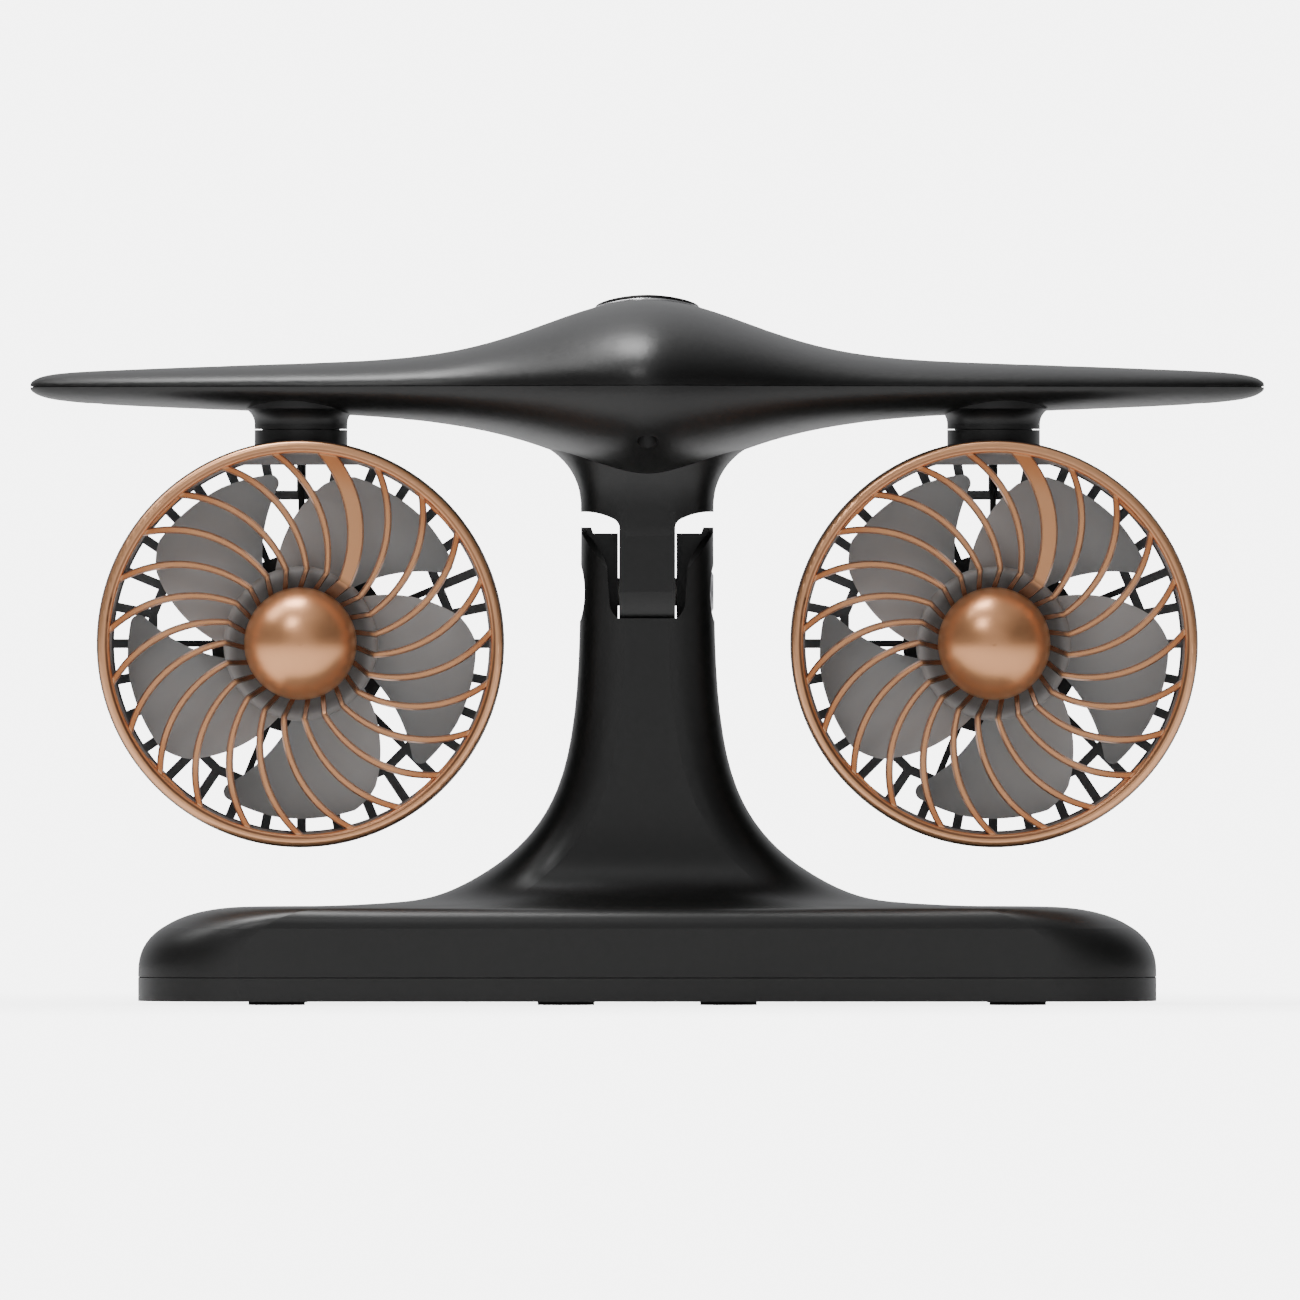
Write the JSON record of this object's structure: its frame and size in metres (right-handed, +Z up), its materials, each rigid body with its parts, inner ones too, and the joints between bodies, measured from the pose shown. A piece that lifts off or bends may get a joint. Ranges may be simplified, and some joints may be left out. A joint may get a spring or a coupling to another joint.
{
  "type": "desk turbofan",
  "caption": "Aeroplane-shaped desk fan: copper-grilled turbofan heads swivel under a black wing that tilts on a flaring stand, with a push button on the fuselage.",
  "frame": {"origin": "middle of the base, on the desk, under the feet", "axes": "+X along the wing towards the viewer's right, +Y to the back (the fans blow towards -Y), +Z up"},
  "size_m": [0.27, 0.088, 0.155],
  "materials": {
    "black_plastic": "fine satin black",
    "black_trim": "dark satin",
    "copper_finish": "copper plated, satin",
    "grey_plastic": "grey satin",
    "rubber": "matt",
    "steel": "zinc plated",
    "bright_trim": "polished",
    "nylon": "natural nylon",
    "board_green": "solder mask"
  },
  "bodies": {
    "stand": {"stand_shell": "black_plastic", "base_plate": "black_trim", "rubber_feet": "rubber", "base_screws": "steel", "ballast_plate": "steel", "control_board": "board_green", "power_inlet": "steel", "hinge_bolt": "steel", "hinge_nut": "steel", "hinge_washers": "nylon", "stand_lead": "rubber"},
    "wing": {"wing_lower_shell": "black_plastic", "wing_upper_shell": "black_plastic", "wing_screws": "steel", "button_ring": "bright_trim", "button_board": "board_green", "wing_lead": "rubber"},
    "button": {"power_button": "black_plastic"},
    "left_fan": {"left_shroud": "black_plastic", "left_swivel_clip": "steel", "left_front_grille": "copper_finish", "left_hub_cap": "copper_finish", "left_rear_grille": "black_trim", "left_motor": "steel", "left_motor_screws": "steel", "left_motor_lead": "rubber"},
    "right_fan": {"right_shroud": "black_plastic", "right_swivel_clip": "steel", "right_front_grille": "copper_finish", "right_hub_cap": "copper_finish", "right_rear_grille": "black_trim", "right_motor": "steel", "right_motor_screws": "steel", "right_motor_lead": "rubber"},
    "left_rotor": {"left_impeller": "grey_plastic", "left_motor_shaft": "steel"},
    "right_rotor": {"right_impeller": "grey_plastic", "right_motor_shaft": "steel"}
  },
  "joints": [
    {"name": "wing_tilt", "type": "hinge", "parent": "stand", "child": "wing", "pos_m": [0, 0, 0.09], "axis": [1, 0, 0], "range_deg": [-25, 25]},
    {"name": "button_press", "type": "slide", "parent": "wing", "child": "button", "axis": [0, 0, -1], "range_m": [0, 0.0008], "stiffness_N_per_m": 1200, "springref_m": -0.001},
    {"name": "left_fan_swivel", "type": "hinge", "parent": "wing", "child": "left_fan", "pos_m": [-0.0757, 0, 0.1254], "axis": [0, 0, 1], "range_deg": [-170, 170]},
    {"name": "left_rotor_spin", "type": "hinge", "parent": "left_fan", "child": "left_rotor", "pos_m": [-0.0757, 0, 0.0787], "axis": [0, 1, 0], "continuous": true},
    {"name": "right_fan_swivel", "type": "hinge", "parent": "wing", "child": "right_fan", "pos_m": [0.0757, 0, 0.1254], "axis": [0, 0, 1], "range_deg": [-170, 170]},
    {"name": "right_rotor_spin", "type": "hinge", "parent": "right_fan", "child": "right_rotor", "pos_m": [0.0757, 0, 0.0787], "axis": [0, 1, 0], "continuous": true}
  ]
}
